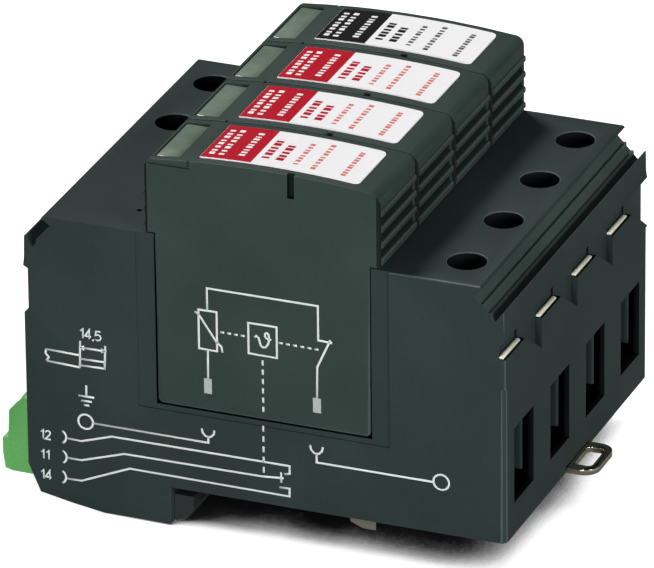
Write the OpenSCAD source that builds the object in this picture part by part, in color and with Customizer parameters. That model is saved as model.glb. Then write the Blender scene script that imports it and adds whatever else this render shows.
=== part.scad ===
// Pluggable four-pole surge arrester for a 35 mm mounting rail.
// X runs across the rail, Y along the rail, Z away from it; the origin is the middle of the rail seat.
// Sizes are in millimetres.

/* [Base housing] */
// Width of one pole along the rail
module_w = 17.8; // [17.4:0.1:18.4]
// Length of the base across the rail
base_l = 90; // [87:0.5:94]
// Height of the two shelves above the rail seat
shelf_z = 48.6; // [47.8:0.2:52]
// Height of the floor under the plugs
floor_z = 15.9; // [15.5:0.1:16.6]
// Length of the bay that takes the plugs
bay_l = 40.4; // [39.4:0.2:41.2]
// Thickness of the side walls
wall = 1.8; // [1.5:0.1:2]
// Thickness of the end walls behind the wire entries
end_wall = 2.6; // [2.4:0.1:2.8]
// Thickness of the floor under the plugs
floor_t = 2; // [1.6:0.1:2.2]
// Depth of the fixed foot below the rail seat
foot_drop = 7.3; // [6.8:0.1:8]
// Thickness of the plate that closes the underside
plate_t = 2.4; // [2.2:0.1:2.6]
// Depth of the border round the plug bay
border_d = 0.25; // [0.1:0.05:0.4]
// Width of the border round the plug bay
border_w = 3.4; // [2.5:0.1:4]

/* [Rail] */
// Width of the rail over its flanges
rail_w = 35; // [34.8:0.1:35.4]
// Thickness of the rail flange
flange_t = 1; // [0.9:0.1:1.3]
// Reach of the fixed hook under the flange
hook_reach = 3.2; // [2.6:0.1:3.6]
// Reach of the latch under the flange
latch_reach = 2.7; // [2.2:0.1:3]
// Travel of the latch
latch_travel = 4; // [3.5:0.1:4.2]
// Thickness of the latch sheet
latch_t = 1; // [0.9:0.1:1.3]
// Width of the latch tongue and its eye
tongue_w = 11.2; // [10:0.2:13]
// Width of the rim at the end of the latch eye
eye_rim = 1.4; // [1:0.1:1.8]
// Width of the rims beside the latch eye
eye_side = 2; // [1.4:0.1:2.6]
// Radius of the eye's outer corners
eye_r = 2.8; // [1:0.1:3.4]
// Length of the hole in the eye
eye_hole_l = 3.2; // [2.4:0.1:4]
// Radius of that hole's corners
eye_hole_r = 0.9; // [0.4:0.1:1.1]
// Reach of the eye past the base's end
eye_out = 5.3; // [4.6:0.1:6]

/* [Marker groove] */
// Height of the small teeth on the groove's slope
tooth_h = 0.5; // [0.3:0.05:0.6]
// Thickness of the groove's outer rim
rim_t = 0.3; // [0.25:0.05:0.5]
// Depth of the band under the groove on the line side
band_d = 1.25; // [0.9:0.05:1.3]
// Depth of the band under the groove on the signal side
left_band_d = 0.9; // [0.6:0.05:1.2]
// Height of those bands
band_h = 7.1; // [6.6:0.1:7.6]
// Extra reach of the signal side's shelf over its groove
left_reach = 0.7; // [0.3:0.1:0.9]

/* [Terminals] */
// Distance from the base's end to the screws
well_inset = 10.4; // [10:0.1:10.8]
// Diameter of the screwdriver wells
well_d = 7; // [6.4:0.1:7.2]
// Diameter of the screw shank
screw_d = 5; // [4:0.1:5.4]
// Diameter of the screw head
head_d = 7.6; // [7.3:0.1:8]
// Height of the screw head
head_h = 3.6; // [3:0.1:3.8]
// Length of the clamp cage along the wire
cage_l = 9.2; // [8:0.1:10]
// Width of the clamp cage
cage_w = 11.2; // [10.8:0.1:11.8]
// Sheet thickness of the clamp cage
cage_t = 1.4; // [1.2:0.1:1.5]
// Thickness of the cage's threaded top
cage_top_t = 2.6; // [2:0.1:3]
// Travel of the clamp cage
cage_travel = 8; // [6:0.2:8.6]
// Width of the current bars
bar_w = 7.4; // [6.8:0.1:7.6]
// Thickness of the current bars
bar_t = 1.5; // [1.2:0.1:1.6]
// Width of the wire entries
entry_w = 9.5; // [8.5:0.1:10]
// Lower edge of the wire entries
entry_z = 6.1; // [6:0.1:6.6]
// Height of the wire entries
entry_h = 14.4; // [13.5:0.1:14.6]
// Height of the wide lower part of the wire entries
entry_low_h = 5; // [4.5:0.1:6.5]
// Depth of the shallow pocket beside the upper slot
pocket_d = 1.6; // [1.2:0.1:1.7]
// Thickness of the rib between that pocket and the slot
rib_w = 0.6; // [0.5:0.1:0.9]
// Thickness of the lip round a wire entry
entry_lip = 0.9; // [0.8:0.1:1.2]
// Width of the bridge tab beside the groove
tab_w = 8.1; // [7:0.1:8.2]
// Thickness of the bridge tab
tab_t = 0.9; // [0.7:0.05:1]

/* [Plugs] */
// Height of a plug's head above the shelf
head_z = 15.4; // [14.6:0.1:16.2]
// Overhang of a plug's head past its body
head_over = 2; // [1.6:0.1:2.4]
// Radius of the arched top
arch_r = 190; // [150:5:260]
// Radius of the head's upper corners
corner_r = 2.2; // [1:0.1:2.4]
// Radius of the head's upright edges
side_r = 0.7; // [0.4:0.1:0.9]
// Thickness of the plug walls
plug_wall = 1.4; // [1.2:0.05:1.6]
// Thickness of the plug's top
plug_top_t = 2.6; // [2.4:0.1:3]
// Number of grip ridges on each end
ridge_n = 4; // [3:1:4]
// Pitch of the grip ridges
ridge_pitch = 3; // [2.4:0.1:3.1]
// Height of one grip ridge
ridge_h = 1.2; // [0.8:0.1:1.6]
// Stand-off of a grip ridge from the plug's end
ridge_d = 0.4; // [0.2:0.05:0.6]
// Depth of the field the grip ridges stand in
ridge_in = 0.45; // [0.2:0.05:0.6]
// Length of the label
label_l = 29.4; // [26:0.2:30]
// Width of the label
label_w = 13.8; // [12:0.2:14.4]
// Thickness of the label
label_t = 0.25; // [0.15:0.05:0.4]
// Length of the window
window_l = 4.4; // [3.8:0.1:4.6]
// Width of the window
window_w = 14.2; // [12:0.2:14.4]
// Thickness of the indicator flag
flag_t = 0.8; // [0.6:0.1:1]
// Travel of the indicator flag
flag_travel = 5; // [4.4:0.1:5.4]
// Width of a contact blade
blade_w = 8; // [6:0.2:8.4]
// Thickness of a contact blade
blade_t = 1.5; // [1:0.1:1.6]
// Distance from the middle to the contact blades
blade_x = 11; // [10.4:0.1:11.4]
// Height of the protective element
element_h = 36; // [30:0.5:36.5]
// Gap between the protective element and the flag over it
element_gap = 1.7; // [1.2:0.1:2.5]
// Thickness of the protective element
element_t = 8; // [6:0.2:9]
// Diameter of the spark gap's chamber
gap_d = 28; // [24:0.5:30]

/* [Signal contact] */
// Pitch of the signal pins
pin_pitch = 3.81; // [3.5:0.01:4]
// Diameter of the signal pins
pin_d = 1; // [0.8:0.1:1.2]
// Height of the middle signal pin
pin_z = 3.5; // [3.2:0.1:3.8]
// Height of the signal connector
conn_h = 14.8; // [14.2:0.1:15]
// Width of the signal connector
conn_w = 11; // [10.2:0.1:11.2]
// Depth of the signal connector outside the base
conn_out = 6; // [5.4:0.1:7]
// Width of the square signal wire holes
wire_hole = 2.4; // [2:0.1:2.6]
// Pull-off travel of the signal connector
conn_travel = 12; // [10:0.5:16]
// Travel of the signal bar
bar_travel = 1.2; // [0.8:0.1:1.4]

/* [Clearances] */
// Gap between pieces that slide on each other
slide_gap = 0.3; // [0.25:0.05:0.4]
// Gap round pieces that stay put
seat_gap = 0.15; // [0.1:0.05:0.2]

/* [Hidden] */
$fn = 32;
cut = 0.1;
poles = 4;
half_l = base_l / 2;
base_w = poles * module_w;
half_w = base_w / 2;
bay_x = bay_l / 2;
cav_x0 = bay_x + wall;
cav_x1 = half_l - end_wall;
cav_y = module_w / 2 - wall;
cav_z0 = plate_t + seat_gap;
under_z = floor_z - floor_t;
seat_x = rail_w / 2 + 0.4;
well_x = half_l - well_inset;
plate_y = half_w - wall - seat_gap;
web_x = seat_x + wall;
latch_z = latch_t - 0.2;
latch_x = rail_w / 2 + 0.5;
nose_x = latch_x + 4.5;
nose_y = plate_y - 1.2;
entry_top = entry_z + entry_h;
bar_z = entry_top + seat_gap;
bar_x = cav_x0 + 1.4;
low_bar_z = cav_z0 + 3.4;
cage_z = cav_z0 + 1.4;
cage_head_z = bar_z + bar_t + 1.9;
cage_roof_z = cage_head_z + cage_top_t + cage_travel + 0.8;
head_low_z = cage_roof_z + 0.6;
pocket_z = head_low_z + head_h + 0.4;
tip_z = bar_z + bar_t + slide_gap;
boss_x = well_x - head_d / 2 - 1.6;
groove_top = [half_l - 5.8, shelf_z - 2];
groove_low = [half_l - 1.85, shelf_z - 6.2];
groove_out = [0.73, 0.68];
band_top = shelf_z - 11;
band_low = band_top - band_h;
tab_top = shelf_z - 12.8;
tab_low = band_low + 0.6;
tab_x = half_l - 0.55;
tab_y = -0.35;
plug_w = module_w - slide_gap;
plug_x = bay_x - slide_gap;
plug_z0 = floor_z + slide_gap;
head_x = plug_x + head_over;
head_z0 = shelf_z + slide_gap;
plug_y = plug_w / 2;
ridge_y = plug_y - side_r - 0.1;
inner_x = plug_x - plug_wall;
inner_y = plug_y - plug_wall;
label_x = -12;
window_x = -18;
blade_top = plug_z0 + 5.6;
blade_low = low_bar_z + bar_t + 0.7;
element_z = blade_top + 0.4;
roof_t = flag_t + slide_gap + plug_top_t + 0.4;
top_z = max(shelf_z + head_z, element_z + max(element_h, gap_d) + element_gap + roof_t);
inner_top = top_z - plug_top_t - 0.4;
flag_z = inner_top - slide_gap - flag_t;
window_z = top_z - 1.1;
seam_x = window_x + window_l / 2 + 2.5;
bar_low_z = low_bar_z + bar_t + 2.6;
bar_top_z = under_z - 1.3;
conn_x0 = -half_l - 0.3;
pins = [-1, 0, 1];
right_poles = [0, 1, 2, 3];
left_poles = [2, 3];
signal_poles = [0, 1];
plastic = [0.2, 0.24, 0.23];
dark = [0.14, 0.17, 0.16];
steel = [0.72, 0.73, 0.72];
copper = [0.8, 0.62, 0.4];
green = [0.36, 0.7, 0.35];
red = [0.8, 0.08, 0.18];
white = [0.94, 0.94, 0.93];

function pole_y(k) = (k - (poles - 1) / 2) * module_w;

// A point on the groove's slope: t runs from its top to its bottom, h stands off it
function slope(t, h) = groove_top + t * (groove_low - groove_top) + h * groove_out;

// Shared shapes

// A box between two X, two Y and two Z planes
module block(x, y, z) {
    translate([x[0], y[0], z[0]])
        cube([x[1] - x[0], y[1] - y[0], z[1] - z[0]]);
}

// An X-Z outline run along Y, centred on the frame
module along_y(w) {
    translate([0, w / 2, 0])
        rotate([90, 0, 0])
            linear_extrude(height = w)
                children();
}

module at_pole(k) {
    translate([0, pole_y(k), 0])
        children();
}

module flip_x() {
    mirror([1, 0, 0])
        children();
}

// A rounded rectangle, its second side along the second axis of its plane
module rounded(x, z, r) {
    translate([x[0] + r, z[0]])
        square([x[1] - x[0] - 2 * r, z[1] - z[0]]);
    translate([x[0], z[0] + r])
        square([x[1] - x[0], z[1] - z[0] - 2 * r]);
    for (i = [x[0] + r, x[1] - r])
        for (j = [z[0] + r, z[1] - r])
            translate([i, j])
                circle(r = r);
}

// Base housing

// Tower with its shelf, toothed marker groove and band
module tower_outline(reach, depth, drop) {
    polygon([
        [bay_x, 0],
        [bay_x, shelf_z],
        [half_l - 4.7 + reach, shelf_z],
        [half_l - 4.3 + reach, shelf_z - 0.4],
        groove_top,
        slope(0.3, 0),
        slope(0.36, tooth_h),
        slope(0.46, 0),
        slope(0.65, 0),
        slope(0.71, tooth_h),
        slope(0.81, 0),
        groove_low,
        [half_l - 0.25 - rim_t, shelf_z - 4.4],
        [half_l - 0.25, shelf_z - 4.4],
        [half_l - 0.25, shelf_z - 8.3],
        [half_l - 0.05, shelf_z - 9.5 - drop],
        [half_l - depth, band_top + drop],
        [half_l - depth, band_low - drop],
        [half_l, band_low - 0.8 - drop / 2],
        [half_l, 0]
    ]);
}

// Underside of the fixed foot on the left
module foot_outline() {
    polygon([
        [-half_l, 0],
        [-half_l + 2.25, 2.1 - foot_drop],
        [-half_l + 8.2, 0.95 - foot_drop],
        [-half_l + 14.5, -foot_drop],
        [-seat_x, -foot_drop],
        [-seat_x, 0]
    ]);
}

module base_outline() {
    tower_outline(0, band_d, 0);
    mirror([1, 0])
        tower_outline(left_reach, left_band_d, 0.5);
    translate([-bay_x, 0])
        square([bay_l, floor_z]);
    foot_outline();
}

// Flush block below the bridge tab, its top slanting down into the recessed panel beside it
module bridge_block() {
    translate([half_l - band_d - cut, 0, 0])
        rotate([90, 0, 90])
            linear_extrude(height = band_d + cut)
                polygon([
                    [-module_w / 2, band_low - 1],
                    [module_w / 2, band_low - 1],
                    [module_w / 2, band_low - 0.8],
                    [0.6, tab_top - 0.4],
                    [-module_w / 2, tab_top - 0.4]
                ]);
}

// Wire entry: wide below, a slot above, and a shallow pocket beside the slot behind a thin rib
module wire_entry() {
    step_z = entry_z + entry_low_h;
    throat = -entry_w / 12;
    pocket_x = half_l - pocket_d;
    translate([cav_x1 - cut, 0, 0])
        rotate([90, 0, 90])
            linear_extrude(height = end_wall + 2 * cut)
                polygon([
                    [-entry_w / 2, entry_z],
                    [entry_w / 2, entry_z],
                    [entry_w / 2, entry_top],
                    [throat, entry_top],
                    [throat, step_z],
                    [-entry_w / 2, step_z]
                ]);
    block([pocket_x, half_l + cut], [-entry_w / 2 + 0.05, throat - rib_w], [step_z - cut, entry_top - 0.05]);
}

// Hollow behind a wire entry, which leaves a thin lip round its lower and right edges
module entry_hollow() {
    step_z = entry_z + entry_low_h;
    throat = -entry_w / 12;
    translate([cav_x1 - cut, 0, 0])
        rotate([90, 0, 90])
            linear_extrude(height = end_wall - entry_lip + cut)
                polygon([
                    [-cav_y + 0.4, entry_z - 1.4],
                    [cav_y - 0.4, entry_z - 1.4],
                    [cav_y - 0.4, entry_top - 0.3],
                    [throat + 0.2, entry_top - 0.3],
                    [throat + 0.2, step_z - 0.5],
                    [-cav_y + 0.4, step_z - 0.5]
                ]);
}

// Space for one terminal: clamp chamber, lightening pocket, head pocket and screwdriver well
module terminal_space() {
    block([cav_x0, cav_x1], [-cav_y, cav_y], [cav_z0 - cut, cage_roof_z]);
    block([cav_x0, boss_x], [-cav_y, cav_y], [cage_roof_z - cut, shelf_z - wall]);
    translate([well_x, 0, cage_roof_z - cut])
        cylinder(d = head_d + 1, h = pocket_z - cage_roof_z + cut);
    translate([well_x, 0, pocket_z - cut])
        cylinder(d = well_d, h = shelf_z - pocket_z + 2 * cut);
    wire_entry();
    entry_hollow();
}

// Slot that shows the edge of the bridge tab, and the bar's way to it
module bridge_slot() {
    block([tab_x - tab_t - seat_gap, tab_x + seat_gap],
        [tab_y - tab_w - seat_gap, tab_y + seat_gap], [tab_low - seat_gap, band_top - 0.2]);
    block([tab_x - tab_t - seat_gap, tab_x + seat_gap],
        [-bar_w / 2 - seat_gap, tab_y], [bar_z - seat_gap, tab_low]);
    block([cav_x1 - cut, tab_x + seat_gap],
        [-bar_w / 2 - seat_gap, bar_w / 2 + seat_gap], [bar_z - seat_gap, bar_z + bar_t + seat_gap]);
}

// Space under the plug floor, with the blade slots and the hole for the plug's pin
module contact_space() {
    block([-cav_x0 - cut, cav_x0 + cut], [-cav_y, cav_y], [cav_z0 - cut, under_z]);
    for (s = [-1, 1])
        translate([s * blade_x, 0, under_z + floor_t / 2])
            cube([blade_w + 0.8, blade_t + 1.1, floor_t + 2 * cut], center = true);
    translate([0, 0, under_z - cut])
        cylinder(d = 3.2, h = floor_t + 2 * cut);
}

// Empty left tower of a pole without an earth terminal
module signal_space() {
    block([-cav_x1, -cav_x0], [-cav_y, cav_y], [cav_z0 - cut, cage_roof_z]);
    block([-boss_x - 7, -cav_x0], [-cav_y, cav_y], [cage_roof_z - cut, shelf_z - wall]);
}

// Opening for the plate that closes the underside and the hollow of the foot
module bottom_space() {
    block([-web_x - seat_gap, cav_x1], [-half_w + wall, half_w - wall], [-cut, cav_z0]);
    along_y(base_w - 2 * wall)
        polygon([
            [-cav_x1, cav_z0],
            [-cav_x1, 0],
            [-cav_x1 + 2, 2.6 - foot_drop],
            [-cav_x1 + 2, -foot_drop - 1],
            [-seat_x + 1, -foot_drop - 1],
            [-seat_x + 1, cav_z0]
        ]);
}

// Shallow border round the plug bay on both side faces
module bay_border() {
    for (s = [-1, 1])
        translate([0, s * half_w, (floor_z - 1 + shelf_z + 1) / 2])
            cube([bay_l + 2 * border_w, 2 * border_d, shelf_z - floor_z + 2], center = true);
}

// Bevel on the upright edges of the terminal end
module edge_bevel() {
    for (s = [-1, 1])
        translate([half_l, s * half_w, (band_low - 1) / 2])
            rotate([0, 0, 45])
                cube([1.1, 1.1, band_low - 1 + 2 * cut], center = true);
}

module base_housing() {
    color(plastic)
        difference() {
            union() {
                along_y(base_w)
                    base_outline();
                for (k = right_poles)
                    at_pole(k)
                        bridge_block();
            }
            for (k = right_poles)
                at_pole(k) {
                    terminal_space();
                    bridge_slot();
                    contact_space();
                }
            for (k = left_poles)
                at_pole(k)
                    flip_x()
                        terminal_space();
            for (k = signal_poles)
                at_pole(k)
                    signal_space();
            bottom_space();
            bay_border();
            edge_bevel();
            block([-bar_x - bar_t - 0.5, -bar_x + 0.5],
                [pole_y(0), pole_y(poles - 1)], [cav_z0 - cut, low_bar_z + bar_t + 0.5]);
            block([-2, 2], [pole_y(0), pole_y(poles - 1)], [cav_z0 - cut, under_z]);
            block([cav_x1 - cut, half_l + cut],
                [-tongue_w / 2 - slide_gap, tongue_w / 2 + slide_gap], [-cut, latch_z + slide_gap]);
            at_pole(0)
                block([-half_l - cut, -cav_x1 + 3],
                    [-conn_w / 2 - seat_gap, conn_w / 2 + seat_gap],
                    [pin_z - conn_h / 2 - seat_gap, pin_z + conn_h / 2 + seat_gap]);
            translate([-bay_x - 6, pole_y(0) - 0.6, shelf_z - 0.8])
                cylinder(d = 1, h = 1);
        }
}

// Plate that closes the underside, with the fixed hook and the latch guides
module foot_plate() {
    color(dark)
        difference() {
            union() {
                along_y(2 * plate_y)
                    polygon([
                        [cav_x1 - seat_gap, 0],
                        [cav_x1 - seat_gap, plate_t],
                        [-web_x, plate_t],
                        [-web_x, wall - foot_drop],
                        [-half_l + 14.5, wall - foot_drop],
                        [-half_l + 8.2, wall + 0.75 - foot_drop],
                        [-cav_x1 + 2.2, 2.9 - foot_drop],
                        [-cav_x1 + 2.2, 1.65 - foot_drop],
                        [-half_l + 8.2, 0.95 - foot_drop],
                        [-half_l + 14.5, -foot_drop],
                        [-seat_x + 0.3, -foot_drop],
                        [-seat_x + hook_reach / 2, 0.5 - foot_drop],
                        [-seat_x + hook_reach + 0.4, 2.6 - foot_drop],
                        [-seat_x + hook_reach + 0.4, -flange_t - 1.2],
                        [-seat_x, -flange_t - 1.2],
                        [-seat_x, 0]
                    ]);
                for (s = [0, 1])
                    mirror([0, s, 0])
                        latch_guide();
            }
            block([latch_x - 0.4, nose_x + latch_travel + slide_gap],
                [-nose_y - slide_gap, nose_y + slide_gap], [-cut, latch_z + slide_gap]);
            block([nose_x, half_l],
                [-tongue_w / 2 - slide_gap, tongue_w / 2 + slide_gap], [-cut, latch_z + slide_gap]);
        }
}

module latch_guide() {
    side = tongue_w / 2 + slide_gap;
    block([nose_x + latch_travel + 2, cav_x1 - 1], [side, side + 1.2], [-1.4, cut]);
    block([nose_x + latch_travel + 2, cav_x1 - 1], [side - 1.4, side + 1.2], [-1.4, -0.2 - slide_gap]);
}

// Plan of the latch tongue, with round corners on the eye for the screwdriver
module latch_tongue(eye_end) {
    translate([nose_x - cut, -tongue_w / 2])
        square([eye_end - eye_r - nose_x + cut, tongue_w]);
    translate([nose_x, -tongue_w / 2 + eye_r])
        square([eye_end - nose_x, tongue_w - 2 * eye_r]);
    for (s = [-1, 1])
        translate([eye_end - eye_r, s * (tongue_w / 2 - eye_r)])
            circle(r = eye_r);
}

// Sheet-metal latch with its hook bar, tongue and screwdriver eye
module rail_latch() {
    low = latch_z - latch_t;
    eye_end = half_l + eye_out;
    hole_x = eye_end - eye_rim;
    hole_y = tongue_w / 2 - eye_side;
    color(steel)
        difference() {
            union() {
                along_y(2 * nose_y)
                    polygon([
                        [latch_x, latch_z],
                        [nose_x, latch_z],
                        [nose_x, low],
                        [latch_x + 1.6, low],
                        [latch_x + 1.6, -flange_t - 2.3],
                        [latch_x - 0.8, -flange_t - 2.3],
                        [latch_x - 0.5 - latch_reach, -flange_t - 1.3],
                        [latch_x - 0.5 - latch_reach, -flange_t - 0.4],
                        [latch_x, -flange_t - 0.4]
                    ]);
                translate([0, 0, low])
                    linear_extrude(height = latch_t)
                        latch_tongue(eye_end);
            }
            translate([0, 0, low - cut])
                linear_extrude(height = latch_t + 2 * cut)
                    rounded([hole_x - eye_hole_l, hole_x], [-hole_y, hole_y], eye_hole_r);
        }
}

// Current paths

// Fork of two upright leaves that grips a contact blade
module contact_fork() {
    leaf = blade_t / 2 + slide_gap;
    for (s = [0, 1])
        mirror([0, s, 0])
            block([blade_x - blade_w / 2, blade_x + blade_w / 2], [leaf, leaf + 0.8],
                [low_bar_z + bar_t - cut, under_z - 0.6]);
}

// Lower bar that carries the fork
module low_bar() {
    block([blade_x - blade_w / 2, bar_x + bar_t], [-bar_w / 2, bar_w / 2], [low_bar_z, low_bar_z + bar_t]);
    contact_fork();
}

// Riser from the lower bar to the clamp and the bar inside the cage
module clamp_bar(end_x) {
    block([bar_x, bar_x + bar_t], [-bar_w / 2, bar_w / 2], [low_bar_z, bar_z + bar_t]);
    block([bar_x, end_x], [-bar_w / 2, bar_w / 2], [bar_z, bar_z + bar_t]);
}

module line_contact(k) {
    color(copper)
        at_pole(k) {
            low_bar();
            clamp_bar(tab_x);
            block([tab_x - tab_t, tab_x], [tab_y - tab_w, tab_y], [tab_low, tab_top]);
            block([tab_x - tab_t, tab_x], [-bar_w / 2, tab_y - seat_gap], [bar_z, tab_low + cut]);
        }
}

module line_contact_1() {
    line_contact(0);
}

module line_contact_2() {
    line_contact(1);
}

module line_contact_3() {
    line_contact(2);
}

module line_contact_4() {
    line_contact(3);
}

// Common earth bar with a fork for every pole and two clamp bars
module earth_bar() {
    color(copper)
        flip_x() {
            for (k = right_poles)
                at_pole(k)
                    low_bar();
            for (k = left_poles)
                at_pole(k)
                    clamp_bar(cav_x1 - seat_gap);
            block([bar_x, bar_x + bar_t], [pole_y(0), pole_y(poles - 1)], [low_bar_z, low_bar_z + bar_t]);
        }
}

// Clamp cage that rises as its screw is turned
module clamp_cage() {
    x = [well_x - cage_l / 2, well_x + cage_l / 2];
    color(steel)
        difference() {
            block(x, [-cage_w / 2, cage_w / 2], [cage_z, cage_head_z + cage_top_t]);
            block([x[0] - cut, x[1] + cut], [-cage_w / 2 + cage_t, cage_w / 2 - cage_t],
                [cage_z + cage_t, cage_head_z]);
            translate([well_x, 0, cage_head_z - cut])
                cylinder(d = screw_d + 2 * slide_gap, h = cage_top_t + 2 * cut);
        }
}

// Terminal screw with a combined slot and cross recess
module clamp_screw() {
    color(steel)
        difference() {
            union() {
                translate([well_x, 0, tip_z])
                    cylinder(d = screw_d, h = head_low_z - tip_z + cut);
                translate([well_x, 0, head_low_z])
                    cylinder(d = head_d, h = head_h);
            }
            translate([well_x, 0, head_low_z + head_h])
                cube([head_d + 1, 1.1, 2.6], center = true);
            translate([well_x, 0, head_low_z + head_h])
                cube([1.1, head_d * 0.62, 3.2], center = true);
        }
}

module line_cage_1() {
    at_pole(0)
        clamp_cage();
}

module line_cage_2() {
    at_pole(1)
        clamp_cage();
}

module line_cage_3() {
    at_pole(2)
        clamp_cage();
}

module line_cage_4() {
    at_pole(3)
        clamp_cage();
}

module earth_cage_1() {
    at_pole(2)
        flip_x()
            clamp_cage();
}

module earth_cage_2() {
    at_pole(3)
        flip_x()
            clamp_cage();
}

module line_screw_1() {
    at_pole(0)
        clamp_screw();
}

module line_screw_2() {
    at_pole(1)
        clamp_screw();
}

module line_screw_3() {
    at_pole(2)
        clamp_screw();
}

module line_screw_4() {
    at_pole(3)
        clamp_screw();
}

module earth_screw_1() {
    at_pole(2)
        flip_x()
            clamp_screw();
}

module earth_screw_2() {
    at_pole(3)
        flip_x()
            clamp_screw();
}

// Remote signal

// Pin header in the left end of the first pole
module signal_header() {
    back = -cav_x1 + 6.6;
    shell = 1;
    color(green)
        at_pole(0) {
            difference() {
                block([-half_l + 0.4, back], [-conn_w / 2, conn_w / 2],
                    [pin_z - conn_h / 2, pin_z + conn_h / 2]);
                block([-half_l, back - 1.4], [-conn_w / 2 + shell, conn_w / 2 - shell],
                    [pin_z - conn_h / 2 + shell, pin_z + conn_h / 2 - shell]);
            }
            for (i = pins)
                translate([-half_l + 1.5, 0, pin_z + i * pin_pitch])
                    rotate([0, 90, 0])
                        cylinder(d = pin_d, h = back + half_l + 1.5);
        }
}

// Change-over switch under the signal bar
module signal_switch() {
    color(dark)
        at_pole(0) {
            block([-5.4, 5.4], [-6.2, 6.2], [cav_z0 + 0.2, low_bar_z + bar_t + 0.4]);
            translate([0, 0, low_bar_z + bar_t + 0.3])
                cylinder(d = 2, h = bar_low_z - bar_travel - slide_gap - low_bar_z - bar_t - 0.3);
        }
}

// Bar that all plugs press on
module signal_bar() {
    color(white)
        block([-1.6, 1.6], [pole_y(0) - 3, pole_y(poles - 1) + 3], [bar_low_z, bar_top_z]);
}

// Pull-off connector with its three wire holes
module signal_plug() {
    shell = 1 + slide_gap;
    top = pin_z + conn_h / 2;
    low = pin_z - conn_h / 2;
    back = -cav_x1 + 5.2 - slide_gap;
    screw_x = conn_x0 - conn_out / 2;
    color(green)
        at_pole(0)
            difference() {
                union() {
                    along_y(conn_w)
                        polygon([
                            [conn_x0, low],
                            [conn_x0, top],
                            [conn_x0 - conn_out * 0.28, top],
                            [conn_x0 - conn_out * 0.77, top - 2.9],
                            [conn_x0 - conn_out * 0.82, pin_z - 1],
                            [conn_x0 - conn_out, pin_z - 1.1],
                            [conn_x0 - conn_out, pin_z - 4],
                            [conn_x0 - conn_out * 0.93, low + 0.4],
                            [conn_x0 - conn_out * 0.7, low]
                        ]);
                    block([conn_x0 - cut, back], [-conn_w / 2 + shell, conn_w / 2 - shell],
                        [low + shell, top - shell]);
                }
                for (i = pins) {
                    translate([-half_l + 1, 0, pin_z + i * pin_pitch])
                        rotate([0, 90, 0])
                            cylinder(d = pin_d + 0.8, h = back + half_l);
                    translate([conn_x0 - conn_out - 1, -1 - wire_hole / 2, pin_z + i * pin_pitch - wire_hole / 2])
                        cube([conn_out - 0.6, wire_hole, wire_hole]);
                    translate([screw_x, conn_w / 2 - 2.6, pin_z + i * pin_pitch])
                        rotate([-90, 0, 0])
                            cylinder(d = 3, h = 3);
                }
            }
}

// Small clamp screw of the signal connector
module signal_screw(i) {
    screw_x = conn_x0 - conn_out / 2;
    color(steel)
        at_pole(0)
            difference() {
                translate([screw_x, conn_w / 2 - 2.4, pin_z + pins[i] * pin_pitch])
                    rotate([-90, 0, 0])
                        cylinder(d = 2.4, h = 2);
                translate([screw_x, conn_w / 2 - 0.4, pin_z + pins[i] * pin_pitch])
                    cube([3, 1, 0.5], center = true);
            }
}

module signal_screw_1() {
    signal_screw(0);
}

module signal_screw_2() {
    signal_screw(1);
}

module signal_screw_3() {
    signal_screw(2);
}

// Plugs

// Side outline of a plug: slim body below, wide head with an arched top above
module plug_outline() {
    intersection() {
        union() {
            rounded([-plug_x, plug_x], [plug_z0, head_z0 + 4], 1);
            rounded([-head_x, head_x], [head_z0, top_z - 1], corner_r);
            translate([-head_x + corner_r, head_z0 + 4])
                square([2 * (head_x - corner_r), top_z - head_z0]);
            translate([-head_x, head_z0])
                square([2 * head_x, 3]);
        }
        translate([0, top_z - arch_r])
            circle(r = arch_r, $fn = 240);
    }
}

// Sunken field of the grip ridges
module grip_field() {
    block([head_x - ridge_in, head_x + cut], [-ridge_y, ridge_y],
        [head_z0 + 0.5 + ridge_h - cut, head_z0 + 0.5 + (ridge_n - 1) * ridge_pitch + cut]);
}

module grip_ridges() {
    for (i = [0 : ridge_n - 1])
        block([head_x - ridge_in - cut, head_x + ridge_d], [-ridge_y, ridge_y],
            [head_z0 + 0.5 + i * ridge_pitch, head_z0 + 0.5 + i * ridge_pitch + ridge_h]);
}

// Seam of the window cap on one side of a plug
module window_seam() {
    block([-head_x - cut, seam_x], [-plug_y - cut, -plug_y + 0.35], [window_z - 0.95, window_z - 0.5]);
    block([seam_x - 0.4, seam_x], [-plug_y - cut, -plug_y + 0.35], [window_z - 0.95, top_z]);
}

// Hood of a plug with its window seat, grip ridges and side notch
module plug_housing(k) {
    window_y = window_w / 2;
    color(plastic)
        at_pole(k)
            difference() {
                union() {
                    difference() {
                        intersection() {
                            along_y(plug_w)
                                plug_outline();
                            translate([0, 0, plug_z0 - cut])
                                linear_extrude(height = top_z - plug_z0 + 2 * cut)
                                    rounded([-head_x, head_x], [-plug_y, plug_y], side_r);
                        }
                        grip_field();
                        flip_x()
                            grip_field();
                    }
                    grip_ridges();
                    flip_x()
                        grip_ridges();
                }
                window_seam();
                mirror([0, 1, 0])
                    window_seam();
                block([-inner_x, inner_x], [-inner_y, inner_y], [plug_z0 - cut, inner_top]);
                block([-head_x + plug_wall, head_x - plug_wall], [-inner_y, inner_y],
                    [head_z0 + plug_wall, inner_top]);
                block([window_x - window_l / 2 - seat_gap, window_x + window_l / 2 + seat_gap],
                    [-window_y - seat_gap, window_y + seat_gap], [window_z - 1, top_z]);
                block([window_x - window_l / 2 + 0.8, window_x + window_l / 2 - 0.8],
                    [-window_y + 1, window_y - 1], [inner_top - cut, top_z]);
                block([4.9, 6.2], [-plug_y - cut, -plug_y + 0.9], [top_z - 4.5, top_z]);
            }
}

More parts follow.
